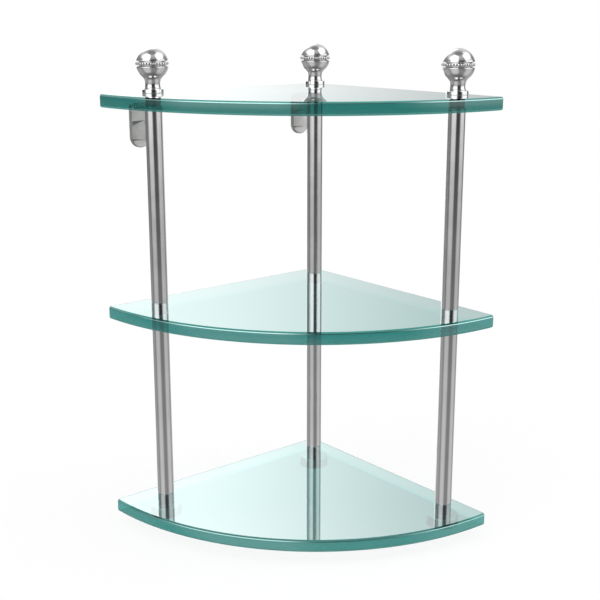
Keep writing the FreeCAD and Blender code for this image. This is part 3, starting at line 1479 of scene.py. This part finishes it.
        # The band's outer faces between the beads take the near-black chrome: painted shade between the
        # beads
        finish_with(band, CHROME_TURNED, GROOVE_PAINTED_SHADE)
        for face in band.data.polygons:
            away = (face.center - centre).xy
            upright = abs(face.normal.z) < UPRIGHT
            outward = upright and face.normal.xy.normalized().dot(away.normalized()) > LEVEL
            face.material_index = int(outward and abs(away.length - outer) < TOUCH)
        spread(band, "bead_ring_", "_beads")

    def build(self) -> None:
        """Build the finials with their beads and collars."""
        self.build_ball()
        self.build_beads()
        collar = PlainRing(
            "collar_" + Post.CORNER.value,
            CHROME_TURNED,
            bore_radius=self.bore_radius,
            lower_bevel=0.0001,
            upper_bevel=0.00035,
            taper=0.0002,
        )
        spread(collar.turn(), "collar_", collar.ending)


@dataclass(frozen=True)
class TieRod:
    """The rod inside a post, with a rolled thread on the end that the finial screws on to."""

    pitch: float = 0.0008
    thread_depth: float = 0.00049
    thread_length: float = 0.0144
    end_bevel: float = 0.0005
    rings_per_turn: int = 8
    steps: int = 40

    def cut_thread(self, rod: bpy.types.Object, axis: Vector, radius: float, top: float) -> None:
        """Sink the thread's root between its crests.

        Args:
            rod: The turned rod.
            axis: A point on its axis.
            radius: Radius of the crests.
            top: Height of its upper end.
        """
        start = top - self.thread_length
        for point in rod.data.vertices:
            arm = point.co - axis
            if arm.xy.length < radius - TOUCH or not start < point.co.z < top - self.end_bevel + TOUCH:
                continue
            turn = (point.co.z - start) / self.pitch - math.atan2(arm.y, arm.x) / math.tau
            root = 1.0 - abs(2.0 * (turn % 1.0) - 1.0)
            fade = min(1.0, (point.co.z - start) / self.pitch)
            scale = 1.0 - self.thread_depth * root * fade / radius
            point.co.x = axis.x + arm.x * scale
            point.co.y = axis.y + arm.y * scale

    def build(self) -> None:
        """Turn one rod, thread it and copy it to the other posts."""
        first = "tie_rod_" + Post.CORNER.value
        low, high = node_box(first)
        axis = axis_of(first)
        radius = (high.x - low.x) / 2
        rings = round(self.thread_length / self.pitch * self.rings_per_turn)
        start = high.z - self.thread_length
        height = self.thread_length - self.end_bevel
        threaded = [(radius, start + height * index / rings) for index in range(rings + 1)]
        flat = radius - self.end_bevel
        base = [(0.0, low.z), (flat, low.z), (radius, low.z + self.end_bevel)]
        profile = base + threaded + [(flat, high.z), (0.0, high.z)]
        rod = turned(first + "_bar", axis, profile, self.steps, closed=False).lift_off()
        self.cut_thread(rod, axis, radius, high.z)
        finish_with(rod, ZINC_STEEL)
        spread(rod, "tie_rod_", "_bar")


@dataclass(frozen=True)
class WallBracket:
    """A wall plate with a round foot and a ramped recess, on an arm clamped under the top shelf."""

    plate_thickness: float = 0.003
    plate_width: float = 0.0166
    corner_radius: float = 0.004
    edge_radius: float = 0.0006
    flange_thickness: float = 0.002
    arm_width: float = 0.006
    eye_radius: float = 0.0066
    rod_hole_radius: float = 0.0026
    screw_hole_radius: float = 0.0018
    screw_spacing: float = 0.0112
    screw_drop: float = 0.0042
    recess_margin: float = 0.0008
    recess_width: float = 0.011
    recess_height: float = 0.0148
    recess_foot: float = 0.0055
    recess_depth: float = 0.0022
    recess_ceiling: float = 0.004
    recess_floor: float = 0.0008
    overshoot: float = 0.001
    round_steps: int = 32
    corner_steps: int = 8
    edge_steps: int = 3
    smooth_deg: float = 32.0

    def plate(self, node: str) -> bpy.types.Object:
        """The upright plate with a round foot, rounded top corners and an eased front edge.

        Args:
            node: The bracket's node.

        Returns:
            The plate.
        """
        low, high = node_box(node)
        axis = post_axis(post_of(node))
        half = self.plate_width / 2
        back = low.x
        front = back + self.plate_thickness
        bottom = Vector((back, axis.y, low.z + half))
        aside = Vector((0.0, half, 0.0))
        turn = self.corner_radius
        inner = Vector((0.0, half - turn, 0.0))
        top = Vector((back, axis.y, high.z - turn))
        work = Workpiece(node + "_plate", bottom + aside)
        work.draw_to([top + aside])
        work.draw_round(top + inner, INTO_ROOM, math.pi / 2, self.corner_steps)
        work.draw_to([top - inner + UP * turn])
        work.draw_round(top - inner, INTO_ROOM, math.pi / 2, self.corner_steps)
        work.draw_to([bottom - aside])
        work.draw_round(bottom, INTO_ROOM, math.pi, self.round_steps)
        work.fill_and_extrude(INTO_ROOM * self.plate_thickness)

        def front_rim(first: Vector, last: Vector) -> bool:
            """True for the plate's front rim."""
            return abs(first.x - front) < TOUCH and abs(last.x - front) < TOUCH

        work.bevel(front_rim, self.edge_radius, self.edge_steps)
        return work.lift_off()

    def recess(self, node: str) -> bpy.types.Object:
        """The solid that cuts the recess, deep at one side and running out at the other.

        Args:
            node: The bracket's node.

        Returns:
            The solid.
        """
        low, _ = node_box(node)
        axis = post_axis(post_of(node))
        front = low.x + self.plate_thickness
        deep = front - self.recess_depth
        side = axis.y - self.plate_width / 2 + self.recess_margin
        foot = low.z + self.recess_foot
        head = foot + self.recess_height
        outline = [
            (front + self.overshoot, foot),
            (front, foot),
            (deep, foot + self.recess_floor),
            (deep, head - self.recess_ceiling),
            (front, head),
            (front + self.overshoot, head),
        ]
        points = [Vector((x, side, z)) for x, z in outline]
        work = extruded(node + "_recess", points, Vector((0.0, self.recess_width, 0.0)))
        bpy.ops.mesh.bisect(
            plane_co=(deep, side, 0.0),
            plane_no=Vector((self.recess_width, -self.recess_depth, 0.0)).normalized(),
            use_fill=True,
            clear_inner=True,
            threshold=WELD_DISTANCE,
        )
        work.weld()
        return work.lift_off()

    def bar(self, name: str, start: Vector, end: Vector, radius: float) -> bpy.types.Object:
        """A round bar between two points along X or Z.

        Args:
            name: Name of the bar.
            start: Middle of one end.
            end: Middle of the other end.
            radius: Its radius.

        Returns:
            The bar.
        """
        way = (end - start).normalized()
        side = Vector((0.0, radius, 0.0))
        work = Workpiece(name, start + side)
        work.draw_round(start, way, math.tau, self.round_steps * 2)
        work.fill_and_extrude(end - start)
        return work.lift_off()

    def arm(self, node: str) -> bpy.types.Object:
        """The flat arm from the plate to the post.

        Args:
            node: The bracket's node.

        Returns:
            The arm.
        """
        low, _ = node_box(node)
        axis = post_axis(post_of(node))
        under = self.flange_height(node)
        half = self.arm_width / 2
        front = low.x + self.plate_thickness - self.edge_radius
        outline = [(front, -half), (axis.x, -half), (axis.x, half), (front, half)]
        points = [Vector((x, axis.y + y, under)) for x, y in outline]
        return extruded(node + "_arm", points, UP * self.flange_thickness).lift_off()

    def kind_of(self, face: bpy.types.MeshPolygon, node: str) -> BracketFace:
        """Tell which kind of face of the bracket this is.

        Args:
            face: A face of the bracket.
            node: The bracket's node.

        Returns:
            The rim for the plate's side and eased edge and the recess's end for its sloping head and foot,
            which both take painted shade, and satin for the rest.
        """
        low, _ = node_box(node)
        half = self.plate_width / 2
        aside = face.center - Vector((0.0, post_axis(post_of(node)).y, low.z + half))
        reach = math.hypot(aside.y, min(aside.z, 0.0))
        if reach > half - self.edge_radius and abs(face.normal.x) < LEVEL:
            return BracketFace.RIM
        foot = low.z + self.recess_foot
        inside = foot < face.center.z < foot + self.recess_height
        sunk = low.x + TOUCH < face.center.x < low.x + self.plate_thickness - TOUCH
        sloping = abs(face.normal.z) > UPRIGHT and face.normal.x > UPRIGHT
        return BracketFace.RECESS_END if inside and sunk and sloping else BracketFace.SATIN

    def flange_height(self, node: str) -> float:
        """The height of the flange's lower face, on top of the post's upper tube."""
        return node_box("tube_upper_" + post_of(node).value)[1].z

    def build(self) -> None:
        """Model the corner bracket and copy it to the left post."""
        node = "wall_bracket_" + Post.CORNER.value
        low, high = node_box(node)
        axis = post_axis(Post.CORNER)
        bracket = self.plate(node)
        combine(bracket, self.recess(node), Joining.CUT)
        past = INTO_ROOM * self.overshoot
        for side in (-1, 1):
            place = Vector((low.x, axis.y + side * self.screw_spacing / 2, high.z - self.screw_drop))
            through = place + INTO_ROOM * self.plate_thickness + past
            hole = self.bar("screw_hole", place - past, through, self.screw_hole_radius)
            combine(bracket, hole, Joining.CUT)
        under = axis + UP * self.flange_height(node)
        over = under + UP * self.flange_thickness
        rise = UP * self.overshoot
        flange = self.arm(node)
        combine(flange, self.bar("eye", under, over, self.eye_radius), Joining.WELD)
        rod_hole = self.bar("rod_hole", under - rise, over + rise, self.rod_hole_radius)
        combine(flange, rod_hole, Joining.CUT)
        combine(bracket, flange, Joining.WELD)
        smooth_by_angle(bracket, self.smooth_deg)
        keep_flats(bracket, INTO_ROOM)
        # The recess's ends and the rim get darker finishes: painted shade
        finish_with(bracket, SATIN_BRACKET, RECESS_PAINTED_SHADE, RIM_PAINTED_SHADE)
        for face in bracket.data.polygons:
            face.material_index = self.kind_of(face, node).value
        offset = post_axis(Post.LEFT) - axis
        left = copy_at(bracket, "wall_bracket_" + Post.LEFT.value + "_plate", offset)
        mount(bracket, node)
        mount(left, "wall_bracket_" + Post.LEFT.value)


@dataclass(frozen=True)
class InnerFittings:
    """Sealed plugs, gaskets and pads, which keep their CAD shape."""

    def dress(self) -> None:
        """Give each CAD node that stays its finish."""
        finishes = {"tube_plugs_": WHITE_NYLON, "gaskets_": CLEAR_GASKET, "foot_pads": PAD_RUBBER}
        for name, node in frame["nodes"].items():
            for stem, finish in finishes.items():
                if name.startswith(stem):
                    node.material_slots[0].material = finish.material()
                    LOG.info("%s: dressed as %s", name, finish.name)


# Studio


def radians_of(span: Point) -> Point:
    """A span of degrees, in radians."""
    return math.radians(span[0]), math.radians(span[1])


@dataclass(frozen=True)
class SoftBox:
    """A light panel of the surroundings, or a dark one where its strength is below 0.

    Angles are in degrees. Each side is given by where its fade starts and where it ends.
    """

    azimuth: float
    side: Point
    low: Point
    high: Point
    strength: float


@dataclass(frozen=True)
class Studio:
    """The surroundings, the floor, the overhead lamp and the camera."""

    boxes: tuple[SoftBox, ...] = (
        # The main panels, to the left and right of the camera
        SoftBox(-76.0, (19.0, 39.0), (-24.0, 12.0), (60.0, 75.0), 1.08),
        SoftBox(40.0, (21.0, 41.0), (-26.0, 12.0), (56.0, 71.0), 0.94),
        # Their wider heads
        SoftBox(-92.0, (28.0, 44.0), (28.0, 40.0), (62.0, 76.0), 0.75),
        SoftBox(56.0, (34.0, 48.0), (28.0, 40.0), (58.0, 72.0), 0.60),
        # A darker band across each
        SoftBox(-76.0, (19.0, 39.0), (16.0, 22.0), (26.0, 34.0), -0.32),
        SoftBox(40.0, (21.0, 41.0), (16.0, 22.0), (26.0, 34.0), -0.30),
        # High panels at the far sides
        SoftBox(-136.0, (16.0, 40.0), (28.0, 42.0), (44.0, 64.0), 0.32),
        SoftBox(94.0, (16.0, 36.0), (24.0, 36.0), (36.0, 54.0), 0.46),
        # A soft ring of light all round
        SoftBox(0.0, (181.0, 182.0), (26.0, 54.0), (64.0, 78.0), 0.28),
        # Low panels under the main ones and at the far sides
        SoftBox(-72.0, (14.0, 42.0), (-75.0, -45.0), (-24.0, -8.0), 0.34),
        SoftBox(40.0, (14.0, 42.0), (-75.0, -45.0), (-24.0, -8.0), 0.32),
        SoftBox(-142.0, (14.0, 34.0), (-60.0, -40.0), (-6.0, 4.0), 0.13),
        SoftBox(96.0, (12.0, 30.0), (-60.0, -40.0), (-2.0, 8.0), 0.14),
        # Panels just above the horizon
        SoftBox(-86.0, (28.0, 42.0), (-8.0, -1.0), (14.0, 28.0), 0.34),
        SoftBox(32.0, (26.0, 42.0), (-8.0, -1.0), (14.0, 28.0), 0.34),
        SoftBox(-142.0, (18.0, 42.0), (0.0, 10.0), (28.0, 44.0), 0.18),
        SoftBox(96.0, (16.0, 36.0), (2.0, 12.0), (24.0, 38.0), 0.18),
        # A darker place below
        SoftBox(-16.0, (90.0, 140.0), (-100.0, -95.0), (-72.0, -45.0), -0.10),
    )
    backdrop: SoftBox = SoftBox(146.0, (33.0, 49.0), (-30.0, -20.0), (46.0, 62.0), 1.0)
    backdrop_tones: Point = (0.64, 1.40)
    backdrop_span: Point = (-18.0, 3.0)
    backdrop_gains: Point = (0.87, 1.12)
    gain_span: Point = (13.0, 27.0)
    room_tones: Point = (0.03, 0.24)
    below_tone: float = 0.24
    below_span: Point = (-24.0, 0.0)
    floor_size: float = 60.0
    floor_colour: Colour = (0.92, 0.92, 0.92)
    floor_roughness: float = 0.9
    floor_white: float = 0.88
    white_span: Point = (0.25, 0.7)
    lamp_place: tuple[float, float, float] = (0.1, -0.1, 2.2)
    lamp_size: float = 1.6
    lamp_power: float = 22.0
    camera_place: tuple[float, float, float] = (0.7070, -0.6078, 0.3950)
    camera_heading: float = 140.06
    camera_dip: float = 14.54
    camera_lens: float = 66.596
    camera_sensor: float = 36.0
    camera_clip: Point = (0.01, 50.0)

    def box_group(self) -> bpy.types.NodeTree:
        """A node group that puts one light panel into the surroundings.

        Returns:
            The group.
        """
        number = Kind.NUMBER
        limits = ("Side From", "Side To", "Low From", "Low To", "High From", "High To")
        names = ("Azimuth", "Elevation", "At", *limits, "Strength")
        graph, given, out = new_group("soft_box", {name: number for name in names}, {"Value": number})
        value = given.outputs
        aside = graph.maths("SUBTRACT", value["Azimuth"], value["At"])
        aside = graph.maths("ABSOLUTE", graph.maths("WRAP", aside, math.pi, -math.pi))
        across = graph.remap(aside, (value["Side From"], value["Side To"]), (value["Strength"], 0.0))
        above = graph.remap(value["Elevation"], (value["Low From"], value["Low To"]), (0.0, 1.0))
        below = graph.remap(value["Elevation"], (value["High From"], value["High To"]), (1.0, 0.0))
        lit = graph.maths("MULTIPLY", across, graph.maths("MULTIPLY", above, below))
        graph.feed(lit, out.inputs["Value"])
        return graph.tree

    def surroundings(self) -> None:
        """Build the world: grey room, light panels, and the white background behind the object."""
        world = bpy.data.worlds.new("studio")
        world.use_nodes = True
        bpy.context.scene.world = world
        graph = Graph(world.node_tree)
        background = world.node_tree.nodes["Background"]
        ray = graph.add("ShaderNodeSeparateXYZ")
        graph.feed(graph.add("ShaderNodeTexCoord").outputs["Generated"], ray.inputs[0])
        azimuth = graph.maths("ARCTAN2", ray.outputs["Y"], ray.outputs["X"])
        elevation = graph.maths("ARCSINE", ray.outputs["Z"])
        group = self.box_group()

        def patch(box: SoftBox) -> bpy.types.NodeSocket:
            """Put one panel into the surroundings.

            Args:
                box: The panel.

            Returns:
                Its light.
            """
            values = {"At": math.radians(box.azimuth), "Strength": box.strength}
            for edge, fade in (("Side", box.side), ("Low", box.low), ("High", box.high)):
                values[edge + "_From"], values[edge + "_To"] = radians_of(fade)
            return placed(graph, group, Azimuth=azimuth, Elevation=elevation, **values)

        room = graph.remap(elevation, (0.0, math.pi / 2), self.room_tones)
        extra = self.below_tone - self.room_tones[0]
        below = graph.remap(elevation, radians_of(self.below_span), (extra, 0.0))
        studio = graph.maths("ADD", room, below)
        for box in self.boxes:
            studio = graph.maths("ADD", studio, patch(box))

        behind = patch(self.backdrop)
        turn = graph.maths("SUBTRACT", azimuth, math.radians(self.backdrop.azimuth))
        turn = graph.maths("WRAP", turn, math.pi, -math.pi)
        shade = graph.remap(turn, radians_of(self.backdrop_span), self.backdrop_tones)
        gain = graph.remap(elevation, radians_of(self.gain_span), self.backdrop_gains)
        shade = graph.maths("MULTIPLY", shade, gain)
        direct = graph.direct_rays()
        glossy = graph.add("ShaderNodeLightPath").outputs["Is Glossy Ray"]
        share = graph.maths("MAXIMUM", direct, graph.maths("MULTIPLY", glossy, behind))
        unseen = graph.maths("SUBTRACT", 1.0, direct)
        white = graph.maths("ADD", graph.maths("MULTIPLY", shade, unseen), direct)
        light = graph.mix(Mixed.NUMBERS, share, studio, white)
        graph.feed(light, background.inputs["Color"])
        set_inputs(background, {"Strength": 1.0})

    def floor(self) -> None:
        """Lay a pale floor that keeps a faint shadow."""
        deselect_all()
        bpy.ops.mesh.primitive_plane_add(size=self.floor_size, location=(0.0, 0.0, 0.0))
        floor = bpy.context.object
        floor.name = "floor"
        material, graph, shader = blank_material("pale_floor")
        plain = {
            "Base Color": (*self.floor_colour, 1.0),
            "Roughness": self.floor_roughness,
            "Specular IOR Level": 0.0,
        }
        set_inputs(shader, plain)
        glow = graph.add("ShaderNodeEmission")
        mix = graph.add("ShaderNodeMixShader")
        away = graph.add("ShaderNodeVectorMath", operation="LENGTH")
        graph.feed(graph.add("ShaderNodeTexCoord").outputs["Object"], away.inputs[0])
        share = graph.remap(away.outputs["Value"], self.white_span, (self.floor_white, 1.0))
        graph.feed(graph.maths("MULTIPLY", graph.direct_rays(), share), mix.inputs[0])
        graph.feed(shader.outputs[0], mix.inputs[1])
        graph.feed(glow.outputs[0], mix.inputs[2])
        graph.feed(mix.outputs[0], material.node_tree.nodes["Material Output"].inputs["Surface"])
        floor.data.materials.append(material)
        floor.visible_glossy = False

    def lamp(self) -> None:
        """Hang a soft lamp over the object for the dull surfaces."""
        deselect_all()
        bpy.ops.object.light_add(type="AREA", location=self.lamp_place)
        lamp = bpy.context.object
        lamp.name = "overhead_lamp"
        lamp.data.size = self.lamp_size
        lamp.data.energy = self.lamp_power
        lamp.visible_glossy = False

    def camera(self) -> None:
        """Stand the camera where the photograph was taken from."""
        deselect_all()
        bpy.ops.object.camera_add(location=self.camera_place)
        camera = bpy.context.object
        heading, dip = math.radians(self.camera_heading), math.radians(self.camera_dip)
        level = math.cos(dip)
        forward = Vector((level * math.cos(heading), level * math.sin(heading), -math.sin(dip)))
        camera.rotation_euler = forward.to_track_quat("-Z", "Y").to_euler()
        camera.data.sensor_width = self.camera_sensor
        camera.data.lens = self.camera_lens
        camera.data.clip_start, camera.data.clip_end = self.camera_clip
        bpy.context.scene.camera = camera

    def build(self) -> None:
        """Set up the whole studio."""
        bpy.context.scene.view_settings.view_transform = "Standard"
        self.surroundings()
        self.floor()
        self.lamp()
        self.camera()


def main() -> None:
    """Build every sub-assembly, dress it and set up the studio."""
    logging.basicConfig(level=logging.INFO, format="%(name)s: %(message)s")
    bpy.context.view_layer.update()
    GlassShelf().build()
    PostTube().build()
    HoleSleeves().build()
    Foot().build()
    Finial().build()
    TieRod().build()
    WallBracket().build()
    spacer = PlainRing(
        "post_spacer_" + Post.RIGHT.value,
        CHROME_TUBE,
        bore_radius=0.0026,
        lower_bevel=0.00015,
        upper_bevel=0.00015,
    )
    mount(spacer.turn(), spacer.node)
    InnerFittings().dress()
    Studio().build()


if __name__ == "__main__":
    main()
